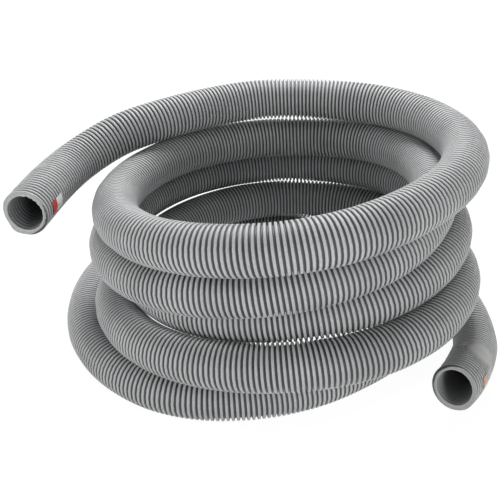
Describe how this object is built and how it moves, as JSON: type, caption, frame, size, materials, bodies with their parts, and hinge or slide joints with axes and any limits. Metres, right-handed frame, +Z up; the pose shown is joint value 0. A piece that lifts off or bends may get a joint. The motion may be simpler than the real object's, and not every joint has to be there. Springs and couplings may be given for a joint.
{
  "type": "vacuum hose",
  "caption": "Ribbed flexible vacuum hose lying in a loose stacked coil, with plain cut open ends, each bound with clear tape over a small label.",
  "frame": {"origin": "middle of the base, on the surface the pile lies on", "axes": "+Z up, -Y to the front where the lower mouth points, +X to the right, the side on which the lower tail comes out"},
  "size_m": [0.5385, 0.4766, 0.2662],
  "materials": {
    "hose": "satin grey ribbed plastic, lightly dusty, darker in the grooves",
    "tape": "clear glossy packing tape, slightly yellowed",
    "upper_label": "printed label, a red block and a white block, no text",
    "lower_label": "printed label, a pale orange block and a white block, no text"
  },
  "bodies": {
    "root": {"upper_end": "hose", "upper_tail": "hose", "coil": "hose", "lower_tail": "hose", "lower_end": "hose", "upper_tape": "tape", "lower_tape": "tape", "upper_label": "upper_label", "lower_label": "lower_label"}
  },
  "joints": []
}
